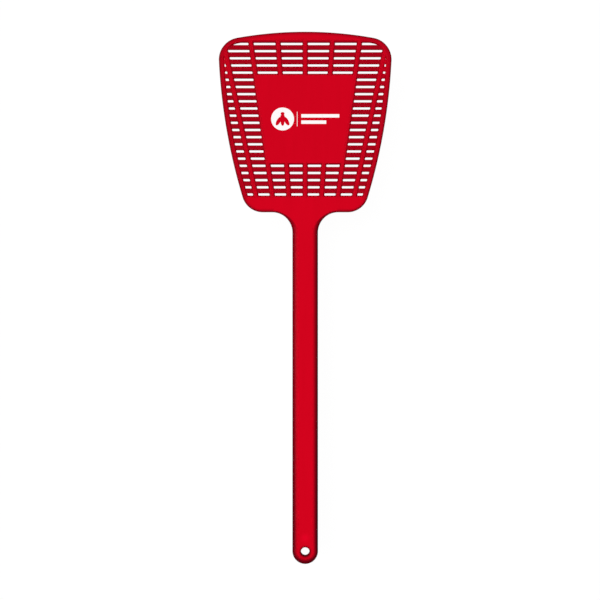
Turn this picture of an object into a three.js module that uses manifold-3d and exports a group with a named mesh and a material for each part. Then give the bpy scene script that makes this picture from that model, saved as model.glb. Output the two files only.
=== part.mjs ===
// Fly swatter, moulded in one from polypropylene: a slotted head on a handle with a channel in its back.
// Millimetres. It lies face up: +Y runs from the handle's end to the head and +Z points out of the front.
// The origin is halfway along the length, on the surface that the handle's back lies on.
// The moulding is divided where it bends: the handle, the neck that flexes, and the head.
import * as THREE from 'three';
import { mergeVertices } from 'three/addons/utils/BufferGeometryUtils.js';
import Module from 'manifold-3d';

const wasm = await Module();
wasm.setup();

// Whole moulding
const overallLength = 406.4;
const jointGap = 0.3;              // hairline between the divided lengths of the moulding
const arcTolerance = 0.03;         // how far a facet may leave its arc
const past = 2;                    // how far a cutter runs past the faces it cuts

// Head
const headHeight = 137.7;          // crown to lower edge
const headWidth = 132.9;           // between the side arcs, level with the crown
const headThickness = 1.8;
const headEdgeRadius = 0.6;
const crownRadius = 294;
const sideRadius = 436;
const topCornerRadius = 16.8;
const lowerCornerRadius = 16;
const rimWidth = 4.2;              // plain border between the outline and the slots

// Slots and the fan of ribs between them
const rowCount = 22;
const rowPitch = 5.47;
const slotHeight = 1.8;
const firstRowDepth = 9.25;        // crown to the middle of the first row
const ribWidth = 4.1;
const ribsEachSide = 3;            // beside the middle rib
const ribPitchAtCrown = 21.3;
const fanDepth = 304;              // crown to the point where the ribs would meet
const slatRecess = 0.5;            // the slats lie this far below the ribs and the rim
const recessAboveSlots = 1.2;
const recessBelowSlots = 0.6;

// Plain panel in the middle of the head
const panelFirstRow = 6;
const panelLastRow = 17;
const panelRibs = 2;               // it reaches to this rib on each side
const panelLip = 0.8;              // plain strip between the panel's edge and the slots next to it

// Handle
const handleWidth = 19.5;
const handleDepth = 6.5;
const handleWall = 2.8;
const handleEdgeRadius = 4.6;
const channelEndWall = 3;          // solid end of the channel, next to the neck
const crossRibPitch = 26;
const crossRibWidth = 1.6;
const crossRibSetback = 1;         // below the channel's rim
const hangHoleDiameter = 6.6;
const bossWall = 2.2;

// Neck
const neckRadius = 15.3;
const neckEdgeRadius = 1.6;
const neckTaperLength = 15;        // the depth falls from the handle's to the head's over this length
const neckHeadMargin = 3.2;        // the flexing length ends this far below the head's lower edge

// Print: a round emblem with a fly cut out of it, a divider and two plain bars
const inkThickness = 0.1;
const inkLift = 0.02;              // clearance between the ink and the panel
const printSpan = 52;
const emblemDiameter = 17.5;
const dividerWidth = 0.4;
const dividerHeight = 11;
const dividerGap = 2.2;            // emblem to divider
const barGap = 2.9;                // divider to bars
const barHeight = 2.6;
const barSpacing = 4.8;
const lowerBarLength = 19;
const flyLength = 11;

// Places that follow from the sizes above
const crownY = overallLength / 2;
const handleEndY = -overallLength / 2;
const headLowY = crownY - headHeight;
const frontZ = handleDepth;
const headBackZ = frontZ - headThickness;
const fanY = crownY - fanDepth;
const neckStartY = headLowY - neckRadius;
const neckEndY = headLowY - neckHeadMargin;
const holeY = handleEndY + handleWidth / 2;

const rowY = (row) => crownY - firstRowDepth - (row - 1) * rowPitch;
const ribX = (rib, y) => rib * ribPitchAtCrown * (y - fanY) / fanDepth;

const redPlastic = new THREE.MeshStandardMaterial({ color: 0xcf001b, roughness: 0.42, metalness: 0 });
const whiteInk = new THREE.MeshStandardMaterial({ color: 0xf6f1f2, roughness: 0.6, metalness: 0 });

// Points along an arc, as close together as arcTolerance asks
function arc(centreX, centreY, radius, fromAngle, toAngle) {
  const step = 2 * Math.acos(1 - arcTolerance / radius);
  const steps = Math.max(2, Math.ceil(Math.abs(toAngle - fromAngle) / step));
  const curve = new THREE.EllipseCurve(
    centreX, centreY, radius, radius, fromAngle, toAngle, toAngle < fromAngle);
  return curve.getPoints(steps);
}

// Closed outline from its right half, which runs from the bottom to the top
function mirrored(rightHalf) {
  const onAxis = 1e-6;
  const leftHalf = rightHalf
    .filter((point) => point.x > onAxis)
    .map((point) => new THREE.Vector2(-point.x, point.y))
    .reverse();
  const outline = [...rightHalf, ...leftHalf];
  return outline.filter((point, i) => i === 0 || point.distanceTo(outline[i - 1]) > onAxis);
}

function toSolid(geometry) {
  geometry.deleteAttribute('normal');
  geometry.deleteAttribute('uv');
  const merged = mergeVertices(geometry, 1e-5);
  return new wasm.Manifold(new wasm.Mesh({
    numProp: 3,
    vertProperties: new Float32Array(merged.attributes.position.array),
    triVerts: new Uint32Array(merged.index.array),
  }));
}

function toGeometry(solid) {
  const mesh = solid.getMesh();
  const geometry = new THREE.BufferGeometry();
  geometry.setAttribute('position', new THREE.BufferAttribute(mesh.vertProperties, 3));
  geometry.setIndex(new THREE.BufferAttribute(mesh.triVerts, 1));
  return geometry;
}

// Upright prism over an outline, with both its edges rounded if a radius is given
function prism(outline, lowZ, highZ, edgeRadius = 0) {
  const geometry = new THREE.ExtrudeGeometry(new THREE.Shape(outline), {
    depth: highZ - lowZ - 2 * edgeRadius,
    bevelEnabled: edgeRadius > 0,
    bevelThickness: edgeRadius,
    bevelSize: edgeRadius,
    bevelOffset: -edgeRadius,
    bevelSegments: 4,
  });
  geometry.translate(0, 0, lowZ + edgeRadius);
  return toSolid(geometry);
}

function block(lowX, lowY, lowZ, highX, highY, highZ) {
  const geometry = new THREE.BoxGeometry(highX - lowX, highY - lowY, highZ - lowZ);
  geometry.translate((lowX + highX) / 2, (lowY + highY) / 2, (lowZ + highZ) / 2);
  return toSolid(geometry);
}

function post(x, y, radius, lowZ, highZ) {
  const outline = arc(x, y, radius, 0, 2 * Math.PI).slice(0, -1);
  return prism(outline, lowZ, highZ);
}

// Slice of a solid between two stations along the length
function lengthOf(solid, lowY, highY) {
  const reach = headWidth;
  return solid.intersect(block(-reach, lowY, -reach, reach, highY, reach));
}

// The arcs of the head's right side, all moved inwards by the same inset
function headSide(inset) {
  const sideX = headWidth / 2 - sideRadius;
  const crownCentreY = crownY - crownRadius;
  const toSide = sideRadius - topCornerRadius;
  const toCrown = crownRadius - topCornerRadius;
  const apart = Math.hypot(sideX, crownRadius);
  const along = (toSide ** 2 - toCrown ** 2 + apart ** 2) / (2 * apart);
  const aside = Math.sqrt(toSide ** 2 - along ** 2);
  const unitX = -sideX / apart;
  const unitY = (crownCentreY - crownY) / apart;
  const cornerX = sideX + along * unitX - aside * unitY;
  const cornerY = crownY + along * unitY + aside * unitX;
  const lowerY = headLowY + lowerCornerRadius;
  const lowerX = sideX + Math.sqrt((sideRadius - lowerCornerRadius) ** 2 - (lowerY - crownY) ** 2);
  const lowerAngle = Math.atan2(lowerY - crownY, lowerX - sideX);
  const upperAngle = Math.atan2(cornerY - crownY, cornerX - sideX);
  const crownAngle = Math.atan2(cornerY - crownCentreY, cornerX);
  return [
    ...arc(lowerX, lowerY, lowerCornerRadius - inset, -Math.PI / 2, lowerAngle),
    ...arc(sideX, crownY, sideRadius - inset, lowerAngle, upperAngle),
    ...arc(cornerX, cornerY, topCornerRadius - inset, upperAngle, crownAngle),
    ...arc(0, crownCentreY, crownRadius - inset, crownAngle, Math.PI / 2),
  ];
}

// Outline of the whole moulding: handle end, handle side, neck and head
function mouldingOutline() {
  const half = handleWidth / 2;
  return mirrored([
    ...arc(0, holeY, half, -Math.PI / 2, 0),
    ...arc(half + neckRadius, neckStartY, neckRadius, Math.PI, Math.PI / 2),
    ...headSide(0),
  ]);
}

// Ribs that fan out from a point below the head
function ribFan() {
  const length = 2 * fanDepth;
  let fan;
  for (let rib = -ribsEachSide; rib <= ribsEachSide; rib += 1) {
    const geometry = new THREE.BoxGeometry(ribWidth, length, headThickness + 2 * past);
    geometry.rotateZ(-Math.atan2(rib * ribPitchAtCrown, fanDepth));
    geometry.translate(0, fanY, frontZ - headThickness / 2);
    fan = fan ? fan.add(toSolid(geometry)) : toSolid(geometry);
  }
  return fan;
}

// The plain panel, between its two outer ribs' far edges
function panelBlock() {
  const highY = rowY(panelFirstRow - 1) - slotHeight / 2 - panelLip;
  const lowY = rowY(panelLastRow + 1) + slotHeight / 2 + panelLip;
  const edgeX = (y) => ribX(panelRibs, y) + ribWidth / 2;
  const outline = mirrored([
    new THREE.Vector2(edgeX(lowY), lowY),
    new THREE.Vector2(edgeX(highY), highY),
  ]);
  return prism(outline, headBackZ - past, frontZ + past);
}

// Slots: rows of bars inside the rim, parted by the ribs and by the panel
function slots(field, solidParts) {
  const reach = headWidth;
  let bars;
  for (let row = 1; row <= rowCount; row += 1) {
    const y = rowY(row);
    const bar = block(
      -reach, y - slotHeight / 2, headBackZ - past, reach, y + slotHeight / 2, frontZ + past);
    bars = bars ? bars.add(bar) : bar;
  }
  return field.intersect(bars).subtract(solidParts);
}

// The shallow recess that sets the slats back from the ribs, the rim and the panel
function slatRecesses(field, solidParts) {
  const reach = headWidth;
  const highY = rowY(1) + slotHeight / 2 + recessAboveSlots;
  const lowY = rowY(rowCount) - slotHeight / 2 - recessBelowSlots;
  const layer = block(-reach, lowY, frontZ - slatRecess, reach, highY, frontZ + past);
  return field.intersect(layer).subtract(solidParts);
}

function headSolid() {
  const blank = prism(mouldingOutline(), headBackZ, frontZ, headEdgeRadius);
  const field = prism(mirrored(headSide(rimWidth)), headBackZ - past, frontZ + past);
  const solidParts = ribFan().add(panelBlock());
  return lengthOf(blank, neckEndY + jointGap / 2, crownY + past)
    .subtract(slots(field, solidParts))
    .subtract(slatRecesses(field, solidParts));
}

// Bar with a rounded front edge, which the handle and the neck are cut from
function deepBlank(edgeRadius) {
  const blank = prism(mouldingOutline(), -2 * edgeRadius, frontZ, edgeRadius);
  return blank.intersect(block(-headWidth, handleEndY - past, 0, headWidth, crownY, frontZ));
}

// Wedge that takes the neck's back up to the head's back
function neckTaper() {
  const profile = new THREE.Shape([
    new THREE.Vector2(headLowY - neckTaperLength, -past),
    new THREE.Vector2(crownY, -past),
    new THREE.Vector2(crownY, headBackZ),
    new THREE.Vector2(headLowY, headBackZ),
    new THREE.Vector2(headLowY - neckTaperLength, 0),
  ]);
  const geometry = new THREE.ExtrudeGeometry(profile, { depth: 2 * headWidth, bevelEnabled: false });
  geometry.translate(0, 0, -headWidth);
  geometry.rotateX(Math.PI / 2);
  geometry.rotateZ(Math.PI / 2);
  return toSolid(geometry);
}

function neckSolid() {
  const length = lengthOf(deepBlank(neckEdgeRadius), neckStartY + jointGap / 2, neckEndY - jointGap / 2);
  return length.subtract(neckTaper());
}

// The channel in the handle's back, less the ribs across it and the boss round the hang hole
function handleChannel() {
  const half = handleWidth / 2 - handleWall;
  const roofZ = frontZ - handleWall;
  const highY = neckStartY - channelEndWall;
  const outline = mirrored([
    ...arc(0, holeY, half, -Math.PI / 2, 0),
    new THREE.Vector2(half, highY),
  ]);
  let channel = prism(outline, -past, roofZ);
  const firstRibY = holeY + hangHoleDiameter / 2 + bossWall + crossRibPitch / 2;
  for (let y = firstRibY; y < highY - crossRibPitch / 2; y += crossRibPitch) {
    channel = channel.subtract(
      block(-half - past, y - crossRibWidth / 2, crossRibSetback, half + past, y + crossRibWidth / 2, frontZ));
  }
  return channel.subtract(post(0, holeY, hangHoleDiameter / 2 + bossWall, -past, frontZ));
}

function handleSolid() {
  return lengthOf(deepBlank(handleEdgeRadius), handleEndY - past, neckStartY - jointGap / 2)
    .subtract(neckTaper())
    .subtract(handleChannel())
    .subtract(post(0, holeY, hangHoleDiameter / 2, -past, frontZ + past));
}

const printY = (rowY(panelFirstRow) + rowY(panelLastRow)) / 2;
const emblemX = -printSpan / 2 + emblemDiameter / 2;
const dividerX = emblemX + emblemDiameter / 2 + dividerGap;
const barX = dividerX + dividerWidth + barGap;

// Ellipse in the plane of the print, turned about its own middle
function oval(x, y, halfWidth, halfLength, turn) {
  const curve = new THREE.EllipseCurve(x, y, halfWidth, halfLength, 0, 2 * Math.PI, false, turn);
  return prism(curve.getPoints(40).slice(0, -1), frontZ - past, frontZ + past);
}

// Fly seen from above, its proportions taken from its length
function flyCutter() {
  const unit = flyLength / 11;
  const body = oval(emblemX, printY - 1.6 * unit, 1.5 * unit, 3.6 * unit, 0);
  const thorax = oval(emblemX, printY + 1.8 * unit, 1.7 * unit, 1.8 * unit, 0);
  const head = oval(emblemX, printY + 4.1 * unit, 1.5 * unit, 1.2 * unit, 0);
  const rightWing = oval(emblemX + 3 * unit, printY - 1.6 * unit, 1.5 * unit, 3.7 * unit, Math.PI / 6);
  const leftWing = oval(emblemX - 3 * unit, printY - 1.6 * unit, 1.5 * unit, 3.7 * unit, -Math.PI / 6);
  return body.add(thorax).add(head).add(rightWing).add(leftWing);
}

const inkLowZ = frontZ + inkLift;
const inkHighZ = inkLowZ + inkThickness;

function emblemSolid() {
  return post(emblemX, printY, emblemDiameter / 2, inkLowZ, inkHighZ).subtract(flyCutter());
}

function inkBar(lowX, centreY, length, height) {
  return block(lowX, centreY - height / 2, inkLowZ, lowX + length, centreY + height / 2, inkHighZ);
}

function mesh(name, solid, material) {
  const part = new THREE.Mesh(toGeometry(solid), material.clone());
  part.name = name;
  return part;
}

const swatter = new THREE.Group();
swatter.add(mesh('handle', handleSolid(), redPlastic));
swatter.add(mesh('neck', neckSolid(), redPlastic));
swatter.add(mesh('head', headSolid(), redPlastic));
swatter.add(mesh('print_emblem', emblemSolid(), whiteInk));
swatter.add(mesh('print_divider', inkBar(dividerX, printY, dividerWidth, dividerHeight), whiteInk));
swatter.add(mesh(
  'print_bar_upper', inkBar(barX, printY + barSpacing / 2, printSpan / 2 - barX, barHeight), whiteInk));
swatter.add(mesh(
  'print_bar_lower', inkBar(barX, printY - barSpacing / 2, lowerBarLength, barHeight), whiteInk));

export default swatter;
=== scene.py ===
# A fly swatter lying face up on a light table: one red polypropylene moulding with a white pad print.
from math import atan2, cos, hypot, pi, radians, sin, sqrt

import bmesh
import bpy
from mathutils import Matrix, Vector


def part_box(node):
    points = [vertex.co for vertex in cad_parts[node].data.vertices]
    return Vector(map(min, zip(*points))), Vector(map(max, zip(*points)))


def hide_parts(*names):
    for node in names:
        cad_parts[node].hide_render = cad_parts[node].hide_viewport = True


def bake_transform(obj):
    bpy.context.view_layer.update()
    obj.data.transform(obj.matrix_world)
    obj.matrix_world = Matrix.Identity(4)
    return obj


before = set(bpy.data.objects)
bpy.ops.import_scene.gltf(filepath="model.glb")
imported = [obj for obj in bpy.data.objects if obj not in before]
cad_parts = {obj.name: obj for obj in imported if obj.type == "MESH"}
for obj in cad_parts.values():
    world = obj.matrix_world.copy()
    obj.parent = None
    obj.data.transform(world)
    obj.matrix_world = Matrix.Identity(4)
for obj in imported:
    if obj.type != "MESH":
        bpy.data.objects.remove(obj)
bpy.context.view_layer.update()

mm = 0.001  # the moulding is drawn in millimetres and scaled to metres at the end
touching = 0.001  # mm, points closer than this are one point
slack = 0.01  # room left in comparisons, in mm or as a share of a whole
sheetDepth = 1.0  # mm between the two sides of the flat sheet, before they get their heights

handleLow, handleHigh = (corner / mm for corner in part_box("handle"))
neckLow, neckHigh = (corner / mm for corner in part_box("neck"))
headLow, headHigh = (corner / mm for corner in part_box("head"))


outlineShape = {
    "endY": handleLow.y,  # far end of the handle
    "crownY": headHigh.y,  # top of the head
    "handleWidth": handleHigh.x - handleLow.x,
    "headHeight": 137.7,
    "headWidth": 132.87,  # between the side arcs, level with the crown
    "crownRadius": 294.0,
    "sideRadius": 436.0,
    "topCornerRadius": 16.8,
    "lowerCornerRadius": 16.0,
    "neckRadius": 15.3,
    "arcStep": radians(5),  # turn of each facet on the small arcs
    "chord": 3.5,  # length of each facet on the long arcs
    "firstLine": 2.0,  # the first line across the handle, past the boss
    "lastLine": 1.5,  # and the last, short of the neck's fillets
}

edgeShape = {
    "steps": 6,  # facets over a rounded edge
    "handleRadius": 4.6,
    "endRadius": 3.2,  # round the hang hole
    "endBlend": 14.0,  # this far from the hole's middle the one radius starts to turn into the other
    "headInset": 1.3,  # the head's edge is flatter: this far in
    "headDrop": 0.9,  # and this far down
    "backRadius": 0.5,
    "fadeStart": 49.0,  # along the neck the handle's edge fades into the head's
    "fadeEnd": 66.0,
    "bendLines": 6,  # lines across the head's lower edge, where it still bends with the neck
    "bendLineStart": 1.3,
    "bendLinePitch": 1.6,
    "sharpAngle": 38.0,  # degrees, edges that turn more than this stay crisp
}

slotShape = {
    "rows": 22,
    "rowPitch": 5.47,
    "slotHeight": 1.68,
    "firstRowDepth": 9.25,
    "cornerRadius": 0.55,
    "cornerSteps": 3,
    "cornerTurns": (40, 140),  # degrees, the upright edges that turn this much are slot corners
    "narrowSlot": 2.5,  # a slot under this many corner radii across gets smaller corners
    "narrowCorner": 0.4,  # as a share of the corner radius
    "ribWidth": 4.1,
    "ribsEachSide": 3,
    "ribPitchAtCrown": 21.3,
    "fanDepth": 304.0,  # crown to the point where the ribs would meet
    "rimWidth": 4.2,
    "recess": 0.5,  # slats lie this far below ribs, rim and panel
    "slope": 0.6,  # width of the rounded step down to the slats
    "ledge": 0.45,  # foot of that step to the end of a slot
    "aboveSlots": 1.2,
    "belowSlots": 0.6,
    "panelRows": (6, 17),
    "panelRibs": 2,
    "panelLip": 0.8,
    "slatRound": 1.15,  # width of the rounding on each side of a slat
    "slatDrop": 0.62,  # how far that rounding falls
    "backRound": 0.3,  # the same rounding at the back, as a share of its width
    "backRise": 0.2,  # how far it rises
}

shadeShape = {  # painted shade, as a share of the darker red laid over the plastic's own red: 0 is none of it, and above 1 is deeper still
    # a slight even darkening over the head's face
    "head": 0.07,
    "headStart": 8.0,  # mm each side of the slotted field's lower edge, where the head's slight even darkening sets in
    "headEdge": 0.55,  # painted shade where the head's rounded edge meets its face, full at the outline
    "headEdgeEase": 1.3,
    "headEdgeStart": 0.7,  # mm
    # painted shade in a band along the handle's rounded edges, where they turn from the light
    "handleEdge": 1.1,
    "handleEnd": 1.45,
    "growFrom": -20.0,  # the handle's tone grows from the first value to the second between these
    "growTo": -190.0,
    "bandFull": 1.0,  # mm in from the handle's edge, full to here
    "bandGone": 4.4,  # and gone from here
    "bandFullMore": 1.2,  # both reach further round the handle's end
    "bandGoneMore": 1.6,
    # painted shade on the rounding into the hang hole
    "holeEdge": 1.2,
    "holeRing": 0.4,  # the next ring out
    # painted shade on the rim and ribs beside the slotted field
    "rim": 0.5,
    "rib": 0.3,
    "ribEnd": 1.5,  # mm over which that stops above and below the slots
    # painted shade on the recessed slats, deeper along each slot
    "slat": 0.8,
    "slatEdge": 0.2,  # added along a slot
    "slatEdgeWidth": 0.6,
    "cornerRows": (9, 3),  # towards the head's upper corners the short slats lose some of it
    "cornerLoss": 0.5,
    # the whole back a little darker
    "back": 0.2,
}

backShape = {
    "frontZ": headHigh.z,
    "headBackZ": headLow.z,
    "wall": 2.8,
    "draft": 0.3,  # lean of the channel's walls and ribs
    "steepPart": 0.94,  # share of a wall's height before it rounds into the channel's floor
    "channelEnd": neckLow.y - 3.15,  # short of the neck, which is solid
    "ribPitch": 26.0,
    "ribWidth": 1.6,
    "ribSetback": 1.0,
    "holeRadius": 3.3,
    "holeRound": 0.6,
    "holeSteps": 48,
    "bossWall": 2.2,
    "taperLength": 15.0,
    "taperEnd": 1.0,  # up the head
}

frontZ = backShape["frontZ"]
headLowY = outlineShape["crownY"] - outlineShape["headHeight"]
holeY = outlineShape["endY"] + outlineShape["handleWidth"] / 2
neckStartY = headLowY - outlineShape["neckRadius"]
fanY = outlineShape["crownY"] - slotShape["fanDepth"]
roofZ = frontZ - backShape["wall"]
slopeSteps = (0, 0.5, 0.87, 1)  # lines over the rounded step down to the slats
rimMark = 0.001  # kept on the line where the rim starts to fall


def rowY(row):
    return outlineShape["crownY"] - slotShape["firstRowDepth"] - (row - 1) * slotShape["rowPitch"]


def smooth(low, high, value):
    t = min(1.0, max(0.0, (value - low) / (high - low)))
    return t * t * (3 - 2 * t)


def quarter(t):  # fall of a quarter round, 0 at its top
    return 1 - sqrt(max(0.0, 1 - min(1.0, t) ** 2))


def between(first, last, part):
    return first * (1 - part) + last * part


def vertsIn(parts):
    return [part for part in parts if isinstance(part, bmesh.types.BMVert)]


def facesIn(parts):
    return [part for part in parts if isinstance(part, bmesh.types.BMFace)]


def growLoop(bm, loop):  # a new loop of points joined to this one by faces
    made = bmesh.ops.extrude_edge_only(bm, edges=loop)["geom"]
    verts = vertsIn(made)
    grown = set(verts)
    edges = [part for part in made if isinstance(part, bmesh.types.BMEdge) and grown.issuperset(part.verts)]
    return verts, edges, facesIn(made)


def addObject(name, data):
    made = bpy.data.objects.new(name, data)
    bpy.context.scene.collection.objects.link(made)
    return made


def addArc(bm, vert, centre, turn, chord=None):
    radius = hypot(vert.co.x - centre[0], vert.co.y - centre[1])
    steps = round(abs(turn) * radius / chord) if chord else round(abs(turn) / outlineShape["arcStep"])
    made = bmesh.ops.spin(
        bm, geom=[vert], cent=(*centre, 0), axis=(0, 0, 1), dvec=(0, 0, 0),
        angle=turn, steps=max(2, steps), use_duplicate=False)
    return vertsIn(made["geom_last"])[0]


def addStops(bm, vert, stops):
    for stop in stops:
        made = bmesh.ops.extrude_vert_indiv(bm, verts=[vert])
        vert = made["verts"][0]
        vert.co = (*stop, 0)
    return vert


def handleStops():
    shape = backShape
    leans = (0, shape["draft"], 2 * shape["draft"])
    ys = [holeY + shape["holeRadius"] + shape["bossWall"] + outlineShape["firstLine"]]
    ys += [shape["channelEnd"] - lean for lean in leans]
    for y in crossRibs():
        for side in (-1, 1):
            ys += [y + side * (shape["ribWidth"] / 2 + lean) for lean in leans]
    ys += [neckStartY - outlineShape["lastLine"], neckStartY]
    return sorted(ys)


def crossRibs():
    shape = backShape
    y = holeY + shape["holeRadius"] + shape["bossWall"] + shape["ribPitch"] / 2
    ribs = []
    while y < shape["channelEnd"] - shape["ribPitch"] / 2:
        ribs.append(y)
        y += shape["ribPitch"]
    return ribs


def drawOutline(bm):
    shape = outlineShape
    half = shape["handleWidth"] / 2
    crownY = shape["crownY"]
    sideX = shape["headWidth"] / 2 - shape["sideRadius"]
    crownCentreY = crownY - shape["crownRadius"]
    # the top corner's centre is where the side arc and the crown arc, both moved in, cross
    toSide = shape["sideRadius"] - shape["topCornerRadius"]
    toCrown = shape["crownRadius"] - shape["topCornerRadius"]
    apart = hypot(sideX, shape["crownRadius"])
    along = (toSide ** 2 - toCrown ** 2 + apart ** 2) / (2 * apart)
    aside = sqrt(toSide ** 2 - along ** 2)
    unit = Vector((-sideX, crownCentreY - crownY)) / apart
    corner = Vector((sideX, crownY)) + along * unit + aside * Vector((-unit.y, unit.x))
    lowerY = headLowY + shape["lowerCornerRadius"]
    toLower = shape["sideRadius"] - shape["lowerCornerRadius"]
    lower = Vector((sideX + sqrt(toLower ** 2 - (lowerY - crownY) ** 2), lowerY))
    lowerAngle = atan2(lower.y - crownY, lower.x - sideX)
    upperAngle = atan2(corner.y - crownY, corner.x - sideX)
    crownAngle = atan2(corner.y - crownCentreY, corner.x)

    vert = bm.verts.new((0, shape["endY"], 0))
    vert = addArc(bm, vert, (0, holeY), pi / 2)
    vert = addStops(bm, vert, [(half, y) for y in handleStops()])
    vert = addArc(bm, vert, (half + shape["neckRadius"], neckStartY), -pi / 2)
    vert = addStops(bm, vert, [(lower.x, headLowY)])
    vert = addArc(bm, vert, lower[:], pi / 2 + lowerAngle)
    vert = addArc(bm, vert, (sideX, crownY), upperAngle - lowerAngle, shape["chord"])
    vert = addArc(bm, vert, corner[:], crownAngle - upperAngle)
    vert = addArc(bm, vert, (0, crownCentreY), pi / 2 - crownAngle, shape["chord"])
    vert.co.x = 0
    bmesh.ops.mirror(bm, geom=bm.verts[:] + bm.edges[:], axis="X", merge_dist=touching)


def edgeFade(y):
    return smooth(edgeShape["fadeStart"], edgeShape["fadeEnd"], y)


def endPart(y):
    return smooth(holeY + edgeShape["endBlend"], holeY, y)


def frontRing(step, y):  # how far in from the outline a ring lies, and its height
    shape = edgeShape
    fade = edgeFade(y)
    radius = between(shape["handleRadius"], shape["endRadius"], endPart(y))
    inset = between(radius, shape["headInset"], fade)
    drop = between(radius, shape["headDrop"], fade)
    angle = pi / 2 * step / shape["steps"]
    return inset * (1 - cos(angle)), frontZ - drop * (1 - sin(angle))


def wallRise(reach):  # share of a channel wall's height, this far from its foot
    draft = backShape["draft"]
    steep = backShape["steepPart"]
    if reach < draft:
        return steep * smooth(0, 0.4 * draft, reach)
    return steep + (1 - steep) * smooth(draft, 2 * draft, reach)


def taperZ(y):
    shape = backShape
    return shape["headBackZ"] * smooth(headLowY - shape["taperLength"], headLowY + shape["taperEnd"], y)


def channelDepth(x, y):
    shape = backShape
    rho = hypot(x, y - holeY)
    depth = roofZ * wallRise(shape["channelEnd"] - y)
    for ribY in crossRibs():
        rise = wallRise(abs(y - ribY) - shape["ribWidth"] / 2)
        depth = min(depth, shape["ribSetback"] + (roofZ - shape["ribSetback"]) * rise)
    return min(depth, roofZ * wallRise(rho - shape["holeRadius"] - shape["bossWall"]))


def backRing(step, x, y):
    radius = edgeShape["backRadius"]
    wall, draft = backShape["wall"], backShape["draft"]
    rim = [(0, radius), (0.3 * radius, 0.3 * radius), (radius, 0)]  # inset and rise at each ring
    wallFoot = [(wall - 2 * draft, 0), (wall - draft, 0.1)]
    wallTop = [(wall, backShape["steepPart"] * roofZ), (wall + draft, roofZ)]
    handleProfile = rim + wallFoot + wallTop
    edge = edgeShape["headInset"]
    headProfile = rim + [(radius + (edge - radius) * part, 0) for part in (0.25, 0.5, 0.75, 1)]
    inset = between(handleProfile[step][0], headProfile[step][0], edgeFade(y))
    rise = handleProfile[step][1]
    if step > 2:
        rise = min(rise, channelDepth(x, y))
    return inset, taperZ(y) + rise


def slatLines():  # lines along each slot's edges, over the rounded slats and down their middles
    shape = slotShape
    reach = [0] + [shape["slatRound"] * (1 - sin(radians(angle))) for angle in (67.5, 45, 22.5, 0)]
    lines = []
    for row in range(1, shape["rows"] + 1):
        for side in (-1, 1):
            lines += [rowY(row) + side * (shape["slotHeight"] / 2 + offset) for offset in reach]
        lines.append(rowY(row) - shape["rowPitch"] / 2)
    return lines


def panelEdges():
    shape = slotShape
    first, last = shape["panelRows"]
    gap = shape["slotHeight"] / 2 + shape["panelLip"]
    return rowY(last + 1) + gap, rowY(first - 1) - gap


def fieldEdges():
    shape = slotShape
    half = shape["slotHeight"] / 2
    return rowY(shape["rows"]) - half - shape["belowSlots"], rowY(1) + half + shape["aboveSlots"]


# A fall is 0 or less on the ribs, rim and panel, 1 at the foot of the step down, and more on the slats.
def ribFall(x, y, ribs):
    shape = slotShape
    falls = []
    for rib in ribs:
        angle = atan2(rib * shape["ribPitchAtCrown"], shape["fanDepth"])
        away = abs(x * cos(angle) - (y - fanY) * sin(angle)) - shape["ribWidth"] / 2 + shape["ledge"]
        falls.append(1 + away / shape["slope"])
    return min(falls)


def ribX(rib, y):
    return (y - fanY) * rib * slotShape["ribPitchAtCrown"] / slotShape["fanDepth"]


def panelFall(x, y):
    shape = slotShape
    low, high = panelEdges()
    reach = shape["panelRibs"]
    across = ribFall(abs(x), y, [reach])
    across = min(across, 0) if abs(x) < ribX(reach, y) else across
    return max(across, 1 + (y - high) / shape["slope"], 1 + (low - y) / shape["slope"])


def fallFrom(x, y):
    shape = slotShape
    low, high = fieldEdges()
    ribs = range(-shape["ribsEachSide"], shape["ribsEachSide"] + 1)
    bands = min(1 + (high - y) / shape["slope"], 1 + (y - low) / shape["slope"])
    return min(ribFall(x, y, ribs), panelFall(x, y), bands)


def slotReach(y):  # distance from the nearest slot's edge, below 0 inside the slot
    shape = slotShape
    row = min(shape["rows"], max(1, round((rowY(1) - y) / shape["rowPitch"]) + 1))
    return abs(y - rowY(row)) - shape["slotHeight"] / 2


def inSlot(x, y):
    return slotReach(y) < -slack and fallFrom(x, y) > 1 + slotShape["ledge"] / slotShape["slope"]


def frontHeight(x, y, rimFall):
    shape = backShape
    rho = hypot(x, y - holeY)
    if rho < shape["holeRadius"] + shape["holeRound"]:
        return frontZ - shape["holeRound"] * quarter(1 - (rho - shape["holeRadius"]) / shape["holeRound"])
    if rimFall <= 0:
        return frontZ
    fall = max(0, min(rimFall, fallFrom(x, y), 1))
    slat = slotShape["slatDrop"] * quarter(max(0, 1 - max(0, slotReach(y)) / slotShape["slatRound"]))
    return frontZ - (slotShape["recess"] + slat) * quarter(fall)


def onPanel(x, y):
    return panelFall(x, y) < slack and abs(x) < ribX(slotShape["panelRibs"], y)


# painted shade in a band along the handle's rounded edge, deeper towards its end
def handleShade(reach, y):
    shape = shadeShape
    strength = between(shape["handleEdge"], shape["handleEnd"], smooth(shape["growFrom"], shape["growTo"], y))
    roundEnd = smooth(holeY, outlineShape["endY"], y)
    full = shape["bandFull"] + shape["bandFullMore"] * roundEnd
    gone = shape["bandGone"] + shape["bandGoneMore"] * roundEnd
    return strength * (1 - smooth(full, gone, reach))


# painted shade over the rings of the rounded edge
def edgeShade(ring, y):
    shape = shadeShape
    reach = frontRing(ring, y)[0]
    part = reach / edgeShape["headInset"]
    onHead = 1 - (1 - shape["headEdge"]) * part ** shape["headEdgeEase"]
    onHead *= smooth(headLowY, headLowY + shape["headEdgeStart"], y)
    onHandle = handleShade(reach, y)
    if ring == edgeShape["steps"]:
        onHandle *= endPart(y)  # along the handle's sides the last ring is plain
    return max(onHead, onHandle)


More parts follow.
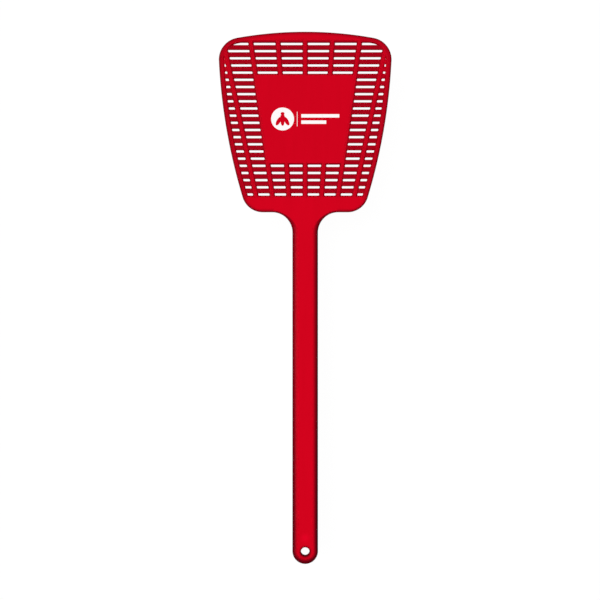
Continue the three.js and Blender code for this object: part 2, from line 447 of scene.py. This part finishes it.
# painted shade on a recessed slat, deeper beside its slot
def slatShade(x, y):
    shape = shadeShape
    loss = 0
    if abs(x) > ribX(slotShape["ribsEachSide"], y):
        first, last = shape["cornerRows"]
        loss = shape["cornerLoss"] * smooth(rowY(first), rowY(last), y)
    besideSlot = max(0, 1 - max(0, slotReach(y)) / shape["slatEdgeWidth"])
    return (1 - loss) * (shape["slat"] + shape["slatEdge"] * besideSlot)


# painted shade at a point on the front: round the hang hole, along the rounded edges, on the rim and ribs and
# on the recessed slats
def frontShade(x, y, rimFall, ring):
    shape = shadeShape
    low, high = fieldEdges()
    rho = hypot(x, y - holeY)
    holeEdge = backShape["holeRadius"] + backShape["holeRound"] + slack
    if rho < holeEdge:
        return shape["holeEdge"]
    if rho < holeEdge + backShape["holeRound"]:
        return shape["holeRing"]
    if ring >= 0:
        return edgeShade(ring, y)
    if y < holeY + edgeShape["endBlend"]:
        return handleShade(outlineShape["handleWidth"] / 2 - (rho if y < holeY else abs(x)), y)
    plain = shape["head"] * smooth(low - shape["headStart"], low + shape["headStart"], y)
    if rimFall <= 0 or y < headLowY:
        return plain
    fall = max(0, min(rimFall, fallFrom(x, y), 1))
    if fall >= slack:
        return max(plain, fall * slatShade(x, y))
    if onPanel(x, y):
        return plain
    beside = smooth(high + shape["ribEnd"], high, y) * smooth(low - shape["ribEnd"], low, y)
    return max(plain, beside * (shape["rim"] if rimFall < slack else shape["rib"]))


def backHeight(x, y, rimFall):
    shape = backShape
    rho = hypot(x, y - holeY)
    if rho < shape["holeRadius"] + shape["holeRound"]:
        return 0.5 * shape["holeRound"] * quarter(1 - (rho - shape["holeRadius"]) / shape["holeRound"])
    if rimFall <= 0:
        return taperZ(y) + channelDepth(x, y)
    if rimFall <= 1 - slack or fallFrom(x, y) < 1 - slack:
        return shape["headBackZ"]
    reach = slotShape["backRound"] * slotShape["slatRound"]
    return shape["headBackZ"] + slotShape["backRise"] * quarter(max(0, 1 - max(0, slotReach(y)) / reach))


def cutAcross(bm, faces, point, normal):
    faces = [face for face in faces if face.is_valid]
    edges = dict.fromkeys(edge for face in faces for edge in face.edges)  # each once, in a settled order
    verts = dict.fromkeys(vert for face in faces for vert in face.verts)
    bmesh.ops.bisect_plane(
        bm, geom=[*verts, *edges, *faces], dist=touching, plane_co=point, plane_no=normal)


def straddling(bm, zone, values, y):  # faces in these zones that the line at y crosses
    faces = []
    for face in bm.faces:
        if face[zone] in values:
            ys = [vert.co.y for vert in face.verts]
            if min(ys) < y - touching and max(ys) > y + touching:
                faces.append(face)
    return faces


# Every point over the rounded edge remembers which outline point it came from, and the way in from there.
def addRings(bm, zone, home, inward):
    order = [next(vert for vert in bm.verts if abs(vert.co.x) < touching and vert.co.y < 0)]
    edge = order[0].link_edges[0]
    while True:
        after = edge.other_vert(order[-1])
        if after is order[0]:
            break
        order.append(after)
        edge = next(other for other in after.link_edges if other is not edge)
    middle = Vector((0, 0, 0))
    for i, vert in enumerate(order):
        before, after = order[i - 1].co, order[(i + 1) % len(order)].co
        along = (vert.co - before).normalized() + (after - vert.co).normalized()
        vert[home] = vert.co
        vert[inward] = Vector((-along.y, along.x, 0)).normalized()
        middle += before.cross(vert.co)
    if middle.z < 0:
        for vert in order:
            vert[inward] = -vert[inward]
    loop = bm.edges[:]
    for step in range(1, edgeShape["steps"] + 1):
        verts, loop, faces = growLoop(bm, loop)
        for vert in verts:
            vert.co = vert[home] + vert[inward] * frontRing(step, vert[home].y)[0]
        for face in faces:
            face[zone] = step
    return loop


def openHole(bm, zone):
    shape = backShape
    end = min((face for face in bm.faces if face[zone] == 0), key=lambda face: face.calc_center_median().y)
    boundary = list(end.edges)
    bmesh.ops.delete(bm, geom=[end], context="FACES_ONLY")
    made = bmesh.ops.create_circle(
        bm, cap_ends=False, radius=shape["holeRadius"], segments=shape["holeSteps"],
        matrix=Matrix.Translation((0, holeY, 0)))
    loop = list(dict.fromkeys(edge for vert in made["verts"] for edge in vert.link_edges))
    boss = shape["holeRadius"] + shape["bossWall"]
    turned = [1 - cos(radians(angle)) for angle in (30, 50, 70, 90)]
    radii = [shape["holeRadius"] + shape["holeRound"] * part for part in (*turned, 2)]
    radii += [boss + shape["draft"] * part for part in (0, 0.4, 1, 2)]
    for radius in radii:
        verts, loop = growLoop(bm, loop)[:2]
        for vert in verts:
            out = Vector((vert.co.x, vert.co.y - holeY, 0)).normalized() * radius
            vert.co = out + Vector((0, holeY, 0))
    made = bmesh.ops.triangle_fill(bm, use_beauty=True, use_dissolve=False, edges=boundary + loop)
    for face in facesIn(made["geom"]):
        face[zone] = 0


def drawField(bm, zone, fall):
    shape = slotShape
    low, high = fieldEdges()
    head = max((face for face in bm.faces if face[zone] == 0), key=lambda face: face.calc_area())
    insets = [(shape["rimWidth"] - shape["ledge"] - shape["slope"] - edgeShape["headInset"], rimMark)]
    insets += [((b - a) * shape["slope"], b) for a, b in zip(slopeSteps, slopeSteps[1:])]
    insets.append((shape["ledge"], 1))
    for thickness, value in insets:
        bmesh.ops.inset_region(
            bm, faces=[head], use_boundary=True, use_even_offset=True, thickness=thickness, depth=0)
        for vert in head.verts:
            vert[fall] = value
    field = edgeShape["steps"] + 1
    head[zone] = field
    ys = slatLines()
    for edge, side in ((low, -1), (high, 1)):
        ys += [edge + side * (1 - step) * shape["slope"] for step in slopeSteps]
    for edge, side in zip(panelEdges(), (1, -1)):
        ys += [edge + side * (1 - step) * shape["slope"] for step in slopeSteps]
    kept = []
    for y in sorted(ys):
        if not kept or y - kept[-1] > 2 * slack:
            kept.append(y)
    for y in kept:
        cutAcross(bm, straddling(bm, zone, [field], y), (0, y, 0), (0, 1, 0))
    base = shape["ribWidth"] / 2 - shape["ledge"]
    offsets = [base - (1 - step) * shape["slope"] for step in slopeSteps] + [base + shape["ledge"]]
    for rib in range(-shape["ribsEachSide"], shape["ribsEachSide"] + 1):
        angle = atan2(rib * shape["ribPitchAtCrown"], shape["fanDepth"])
        normal = Vector((cos(angle), -sin(angle), 0))
        for side in (-1, 1):
            for offset in offsets:
                faces = [face for face in bm.faces if face[zone] == field]
                cutAcross(bm, faces, Vector((0, fanY, 0)) + normal * side * offset, normal)
    gaps = []
    for face in bm.faces:
        if face[zone] == field:
            centre = face.calc_center_median()
            if inSlot(centre.x, centre.y):
                gaps.append(face)
    bmesh.ops.delete(bm, geom=gaps, context="FACES")
    print("slots opened:", len(gaps))


def nameRings(bm, zone, ring):  # -1 is no ring
    last = edgeShape["steps"]
    for vert in bm.verts:
        zones = {face[zone] for face in vert.link_faces}
        onRing = sorted(value for value in zones if 1 <= value <= last)
        if not onRing:
            vert[ring] = -1
        elif len(onRing) > 1:
            vert[ring] = onRing[0]
        else:
            vert[ring] = last if 0 in zones else 0


def wallWidth(face):  # the longer level edge of a slot's wall
    widths = []
    for edge in face.edges:
        a, b = edge.verts
        if abs(a.co.z - b.co.z) < sheetDepth / 2:
            widths.append(edge.calc_length())
    return max(widths)


def roundSlotCorners(bm):
    radius = slotShape["cornerRadius"]
    least, most = (radians(turn) for turn in slotShape["cornerTurns"])
    wide, narrow = [], []
    for edge in bm.edges:
        a, b = edge.verts
        upright = hypot(a.co.x - b.co.x, a.co.y - b.co.y) < touching
        if not upright or len(edge.link_faces) != 2 or a.co.y < fieldEdges()[0]:
            continue
        if not least < edge.calc_face_angle(0) < most:
            continue
        width = min(wallWidth(face) for face in edge.link_faces)
        if width > slotShape["narrowSlot"] * radius:
            wide.append(edge)
        elif width > radius:
            narrow.append(edge)
    for edges, offset in ((wide, radius), (narrow, slotShape["narrowCorner"] * radius)):
        if edges:
            bmesh.ops.bevel(
                bm, geom=edges, affect="EDGES", offset=offset, offset_type="OFFSET",
                segments=slotShape["cornerSteps"], profile=0.5, material=-1, clamp_overlap=False)
    print("slot corners rounded:", len(wide), len(narrow))


def settleOrder(bm):  # the operators leave points and faces in a new order each time
    for i, vert in enumerate(sorted(bm.verts, key=lambda vert: vert.co[:])):
        vert.index = i
    bm.verts.sort()
    for i, face in enumerate(sorted(bm.faces, key=lambda face: sorted(vert.index for vert in face.verts))):
        face.index = i
    bm.faces.sort()


# The moulding is drawn flat, as a sheet cut into faces. The sheet is then given a second side, and each point
# moves to its height at the front or the back.
def buildMoulding():
    bm = bmesh.new()
    zone = bm.faces.layers.int.new("zone")  # 0 inside, then a number for each ring, then the slotted field
    ring = bm.verts.layers.int.new("ring")
    fall = bm.verts.layers.float.new("fall")  # along the rim
    # painted shade for each point, read by the plastic's colour
    painted_shade = bm.verts.layers.float.new("painted_shade")
    home = bm.verts.layers.float_vector.new("home")
    inward = bm.verts.layers.float_vector.new("inward")

    drawOutline(bm)
    inner = addRings(bm, zone, home, inward)
    bmesh.ops.contextual_create(bm, geom=inner)["faces"][0][zone] = 0
    print("outline and edge rings:", len(bm.verts), "points")

    innerYs = [vert.co.y for edge in inner for vert in edge.verts if vert.co.x > 0]
    stops = {round(y, 4) for y in innerYs if holeY + 1 < y < headLowY - 0.3}  # clear of the end and the head
    for y in sorted(stops):
        cutAcross(bm, straddling(bm, zone, [0], y), (0, y, 0), (0, 1, 0))
    openHole(bm, zone)
    drawField(bm, zone, fall)
    for step in range(edgeShape["bendLines"]):
        y = headLowY + edgeShape["bendLineStart"] + edgeShape["bendLinePitch"] * step
        cutAcross(bm, straddling(bm, zone, [0, edgeShape["steps"] + 1], y), (0, y, 0), (0, 1, 0))
    nameRings(bm, zone, ring)

    made = bmesh.ops.extrude_face_region(bm, geom=bm.faces[:])["geom"]
    bmesh.ops.translate(bm, vec=(0, 0, -sheetDepth), verts=vertsIn(made))
    bmesh.ops.recalc_face_normals(bm, faces=bm.faces[:])
    roundSlotCorners(bm)
    bmesh.ops.dissolve_degenerate(bm, dist=touching, edges=bm.edges[:])

    for vert in bm.verts:
        x, y, z = vert.co
        back = z < -sheetDepth / 2
        # painted shade: along edges, round the hole and on the slats at the front, and a little over the
        # whole back
        vert[painted_shade] = shadeShape["back"] if back else frontShade(x, y, vert[fall], vert[ring])
        if vert[ring] >= 0:
            start = vert[home]
            inset, height = backRing(vert[ring], x, start.y) if back else frontRing(vert[ring], start.y)
            vert.co = start + vert[inward] * inset
            vert.co.z = height
        else:
            vert.co.z = (backHeight if back else frontHeight)(x, y, vert[fall])
    bmesh.ops.recalc_face_normals(bm, faces=bm.faces[:])
    bmesh.ops.scale(bm, vec=(mm, mm, mm), verts=bm.verts)
    settleOrder(bm)
    mesh = bpy.data.meshes.new("moulding")
    bm.to_mesh(mesh)
    bm.free()
    for name in ("zone", "ring", "fall", "home", "inward"):
        if name in mesh.attributes:
            mesh.attributes.remove(mesh.attributes[name])
    mesh.shade_smooth()
    mesh.set_sharp_from_angle(angle=radians(edgeShape["sharpAngle"]))
    piece = addObject("moulding", mesh)
    flatten = piece.modifiers.new("flat faces stay flat", "WEIGHTED_NORMAL")
    flatten.keep_sharp = True
    print("moulding:", len(mesh.vertices), "points,", len(mesh.polygons), "faces")
    return piece


def srgb(hexColour):
    parts = [int(hexColour[i:i + 2], 16) / 255 for i in (1, 3, 5)]
    return (*[c / 12.92 if c <= 0.04045 else ((c + 0.055) / 1.055) ** 2.4 for c in parts], 1.0)


def addNode(material, kind, inputs=None, **settings):  # a socket goes by its name, or by its number
    node = material.node_tree.nodes.new(kind)
    for name, value in settings.items():
        setattr(node, name, value)
    for name, value in (inputs or {}).items():
        if isinstance(value, bpy.types.NodeSocket):
            material.node_tree.links.new(value, node.inputs[name])
        else:
            node.inputs[name].default_value = value
    return node


def fillRamp(ramp, positions, colours):
    for stop, position, colour in zip(ramp.color_ramp.elements, positions, colours):
        stop.position = position
        stop.color = srgb(colour)


def newMaterial(name):
    material = bpy.data.materials.new(name)
    material.use_nodes = True
    material.node_tree.nodes.clear()
    return material


polypropyleneLook = {
    "red": "#ce001b",
    "flowRed": "#cb001a",  # where the pigment thickens along the flow
    "flowSize": 6.0,  # mm across a streak
    "flowStretch": 0.12,  # its width as a share of its length
    "flowSpread": (0.35, 0.65),
    "shadeRed": "#900013",  # painted shade: laid on the recessed slats, round the hang hole and along the rounded edges, where they turn from the light
    "brightSpotRed": "#dc0021",  # a brighter red in a small spot above the hang hole
    "brightSpot": (0, holeY + 10.5, frontZ),
    "brightSpotReach": 5.0,  # mm
    "ior": 1.49,
    "specular": 0.25,
    "roughness": 0.42,
    "roughnessSpread": 0.05,
    "patchSize": 11.0,  # mm, a little glossier and a little drier by turns
    "grainSize": 0.45,  # mm, the satin left by the tool's surface, drawn coarser than its real 0.1 mm
    "grainHeight": 0.006,  # mm
    "sinkSize": 18.0,  # mm, the slow waves left as the plastic shrinks
    "sinkHeight": 0.02,  # mm
}


# Injection-moulded polypropylene with pigment right through it: a strong red with a soft satin gloss, a hint
# of streaks along the flow from the handle to the head, and faint waves in its reflections. Shade is painted
# into the red: darker on the slats and along the edges.
def mouldedPolypropylene():
    look = polypropyleneLook
    material = newMaterial("moulded_polypropylene_red")
    place = addNode(material, "ShaderNodeTexCoord").outputs["Object"]
    streaks = addNode(material, "ShaderNodeMapping", {"Vector": place, "Scale": (1, look["flowStretch"], 1)})
    flow = addNode(material, "ShaderNodeTexNoise", {
        "Vector": streaks.outputs[0], "Scale": 1 / (look["flowSize"] * mm), "Detail": 3, "Roughness": 0.55})
    tint = addNode(material, "ShaderNodeValToRGB", {"Fac": flow.outputs["Fac"]})
    fillRamp(tint, look["flowSpread"], (look["flowRed"], look["red"]))
    # a small spot above the hang hole is a brighter red
    away = addNode(
        material, "ShaderNodeVectorMath", {0: place, 1: Vector(look["brightSpot"]) * mm}, operation="DISTANCE")
    brightSpot = addNode(material, "ShaderNodeMapRange", {
        "Value": away.outputs["Value"], "From Min": look["brightSpotReach"] * mm, "From Max": 0.5 * mm},
        interpolation_type="SMOOTHSTEP")
    brightened = addNode(material, "ShaderNodeMix", {
        "Factor": brightSpot.outputs["Result"], 6: tint.outputs["Color"], 7: srgb(look["brightSpotRed"])},
        data_type="RGBA")
    # painted shade: each point's shade value mixes the red towards a darker red
    painted_shade = addNode(material, "ShaderNodeAttribute", attribute_name="painted_shade")
    red = addNode(material, "ShaderNodeMix", {
        "Factor": painted_shade.outputs["Fac"], 6: brightened.outputs[2], 7: srgb(look["shadeRed"])},
        data_type="RGBA", clamp_factor=False)
    patches = addNode(
        material, "ShaderNodeTexNoise", {"Vector": place, "Scale": 1 / (look["patchSize"] * mm), "Detail": 4})
    gloss = addNode(material, "ShaderNodeMapRange", {
        "Value": patches.outputs["Fac"], "From Min": 0.3, "From Max": 0.7,
        "To Min": look["roughness"] - look["roughnessSpread"],
        "To Max": look["roughness"] + look["roughnessSpread"]})
    waves = addNode(
        material, "ShaderNodeTexNoise", {"Vector": place, "Scale": 1 / (look["sinkSize"] * mm), "Detail": 1})
    sink = addNode(
        material, "ShaderNodeBump",
        {"Height": waves.outputs["Fac"], "Distance": look["sinkHeight"] * mm, "Strength": 1.0})
    grain = addNode(
        material, "ShaderNodeTexNoise", {"Vector": place, "Scale": 1 / (look["grainSize"] * mm), "Detail": 2})
    satin = addNode(material, "ShaderNodeBump", {
        "Height": grain.outputs["Fac"], "Distance": look["grainHeight"] * mm, "Strength": 1.0,
        "Normal": sink.outputs["Normal"]})
    surface = addNode(material, "ShaderNodeBsdfPrincipled", {
        "Base Color": red.outputs[2], "Roughness": gloss.outputs["Result"], "IOR": look["ior"],
        "Specular IOR Level": look["specular"], "Normal": satin.outputs["Normal"]})
    addNode(material, "ShaderNodeOutputMaterial", {"Surface": surface.outputs["BSDF"]})
    return material


inkLook = {
    "white": "#fbf7f7",
    "thin": "#f3e6e7",  # where the pad left less ink and the red shows through
    "mottleSize": 0.7,  # mm
    "mottleSpread": (0.3, 0.48),
    "filmHeight": 0.008,  # mm
    "ior": 1.5,
    "specular": 0.3,
    "roughness": 0.5,
}


# Pad-printed ink: a thin opaque white film, a little drier than the plastic under it, with the fine mottle
# that the silicone pad leaves.
def padPrintInk():
    look = inkLook
    material = newMaterial("pad_print_ink_white")
    place = addNode(material, "ShaderNodeTexCoord").outputs["Object"]
    mottle = addNode(material, "ShaderNodeTexNoise", {
        "Vector": place, "Scale": 1 / (look["mottleSize"] * mm), "Detail": 3})
    tint = addNode(material, "ShaderNodeValToRGB", {"Fac": mottle.outputs["Fac"]})
    fillRamp(tint, look["mottleSpread"], (look["thin"], look["white"]))
    film = addNode(
        material, "ShaderNodeBump",
        {"Height": mottle.outputs["Fac"], "Distance": look["filmHeight"] * mm, "Strength": 1.0})
    surface = addNode(material, "ShaderNodeBsdfPrincipled", {
        "Base Color": tint.outputs["Color"], "Roughness": look["roughness"], "IOR": look["ior"],
        "Specular IOR Level": look["specular"], "Normal": film.outputs["Normal"]})
    addNode(material, "ShaderNodeOutputMaterial", {"Surface": surface.outputs["BSDF"]})
    return material


stageLook = {
    "floorDrop": 60.0,  # mm below the swatter, clear of the head when the neck bends down
    "floorSize": 6000.0,
    "floorGlow": 0.98,
    "floorColour": "#303030",  # under the glow, so that a shadow is only just seen
    "worldColour": "#ffffff",
    "worldStrength": 0.045,  # what the walls of the studio give the swatter
    "backdropStrength": 1.0,  # what the camera sees of them
    "keyStrength": 3.25,
    "keyTilt": 13.0,  # degrees off straight down
    "keyTurn": 150.0,  # degrees round from +X, towards the upper left
    "sideStrength": 0.15,
    "sideTilt": 55.0,
    "sideTurn": 175.0,
    "fillStrength": 2.2,
    "fillTilt": 170.0,
    "fillTurn": 200.0,
    "softness": 24.0,  # degrees across each light
}


# The floor is an evenly lit white table. Only its top shows, so the swatter's back can be seen from below.
def makeFloor():
    look = stageLook
    mesh = bpy.data.meshes.new("floor")
    bm = bmesh.new()
    bmesh.ops.create_grid(
        bm, x_segments=1, y_segments=1, size=look["floorSize"] * mm / 2,
        matrix=Matrix.Translation((0, 0, -look["floorDrop"] * mm)))
    bm.to_mesh(mesh)
    bm.free()
    floor = addObject("floor", mesh)
    material = newMaterial("lit_table_white")
    paper = addNode(material, "ShaderNodeBsdfDiffuse", {"Color": srgb(look["floorColour"])})
    glow = addNode(material, "ShaderNodeEmission", {"Strength": look["floorGlow"]})
    top = addNode(material, "ShaderNodeAddShader", {0: paper.outputs[0], 1: glow.outputs[0]})
    below = addNode(material, "ShaderNodeBsdfTransparent")
    side = addNode(material, "ShaderNodeNewGeometry").outputs["Backfacing"]
    both = addNode(material, "ShaderNodeMixShader", {"Fac": side, 1: top.outputs[0], 2: below.outputs[0]})
    addNode(material, "ShaderNodeOutputMaterial", {"Surface": both.outputs[0]})
    mesh.materials.append(material)
    floor.visible_diffuse = False  # its glow doesn't light the swatter's edges
    floor.visible_glossy = False
    floor.visible_shadow = False  # so the fill from below reaches the swatter's back


def addSun(name, strength, tilt, turn, softness, glossy=True):  # not glossy leaves no highlight
    data = bpy.data.lights.new(name, "SUN")
    data.energy = strength
    data.angle = radians(softness)
    lamp = addObject(name, data)
    tilt, turn = radians(tilt), radians(turn)
    towards = Vector((sin(tilt) * cos(turn), sin(tilt) * sin(turn), cos(tilt)))
    lamp.rotation_mode = "QUATERNION"
    lamp.rotation_quaternion = towards.to_track_quat("Z", "Y")
    lamp.location = towards
    lamp.visible_glossy = glossy


def makeLight():
    look = stageLook
    world = bpy.data.worlds.new("studio")
    world.use_nodes = True
    seen = addNode(world, "ShaderNodeLightPath").outputs["Is Camera Ray"]
    strength = addNode(world, "ShaderNodeMapRange", {
        "Value": seen, "To Min": look["worldStrength"], "To Max": look["backdropStrength"]})
    sky = world.node_tree.nodes["Background"]
    sky.inputs["Color"].default_value = srgb(look["worldColour"])
    world.node_tree.links.new(strength.outputs["Result"], sky.inputs["Strength"])
    bpy.context.scene.world = world
    softness = look["softness"]
    addSun("key_softbox", look["keyStrength"], look["keyTilt"], look["keyTurn"], softness, glossy=False)
    addSun("side_softbox", look["sideStrength"], look["sideTilt"], look["sideTurn"], softness)
    addSun(
        "fill_from_below", look["fillStrength"], look["fillTilt"], look["fillTurn"], softness, glossy=False)
    bpy.context.scene.view_settings.view_transform = "Standard"


cameraShape = {
    "lens": 85.0,  # mm
    "sensor": 36.0,  # mm
    "across": 457.4,  # mm of the front's plane that the camera takes in
    "aim": (-3.97, -1.46),  # mm, the point straight below it
}


def makeCamera():
    shape = cameraShape
    data = bpy.data.cameras.new("camera")
    data.lens = shape["lens"]
    data.sensor_width = shape["sensor"]
    data.clip_start = 0.01
    data.clip_end = 20
    camera = addObject("camera", data)
    height = frontZ + shape["across"] * shape["lens"] / shape["sensor"]
    camera.location = (shape["aim"][0] * mm, shape["aim"][1] * mm, height * mm)
    bpy.context.scene.camera = camera


plastic = mouldedPolypropylene()
ink = padPrintInk()

moulding = buildMoulding()
moulding.data.materials.append(plastic)
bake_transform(moulding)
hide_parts("handle", "neck", "head")

for name in ("print_emblem", "print_divider", "print_bar_upper", "print_bar_lower"):
    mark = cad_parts[name]
    mark.data.materials.clear()
    mark.data.materials.append(ink)
print("ink:", "4 printed marks")

makeFloor()
makeLight()
makeCamera()
print("stage: floor, three lights and the camera")
